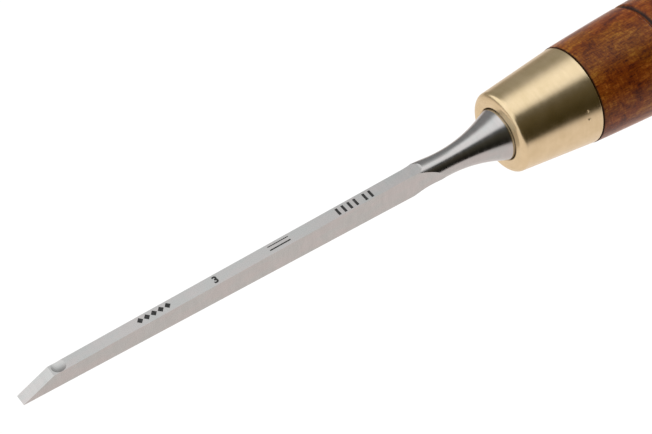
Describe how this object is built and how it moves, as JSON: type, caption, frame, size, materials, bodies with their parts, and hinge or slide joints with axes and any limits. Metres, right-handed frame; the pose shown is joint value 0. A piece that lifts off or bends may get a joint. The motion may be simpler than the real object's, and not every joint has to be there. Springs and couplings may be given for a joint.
{
  "type": "narrow bevel-edge chisel",
  "caption": "Narrow woodworking chisel: ground steel blade with a round flared neck, a tapered brass ferrule and a turned, grooved hardwood handle.",
  "frame": {"origin": "middle of the cutting edge, on the plane of the blade's flat back", "axes": "+X from the cutting edge to the handle's butt, parallel to the handle's axis; +Z out of the blade's bevelled side; the flat back faces -Z"},
  "size_m": [0.262, 0.0304, 0.0304],
  "materials": {
    "blade_steel": "ground and finely polished",
    "ferrule_brass": "satin turned",
    "handle_wood": "stained red-brown and waxed"
  },
  "bodies": {
    "root": {"blade": "blade_steel", "ferrule": "ferrule_brass", "handle": "handle_wood"}
  },
  "joints": []
}
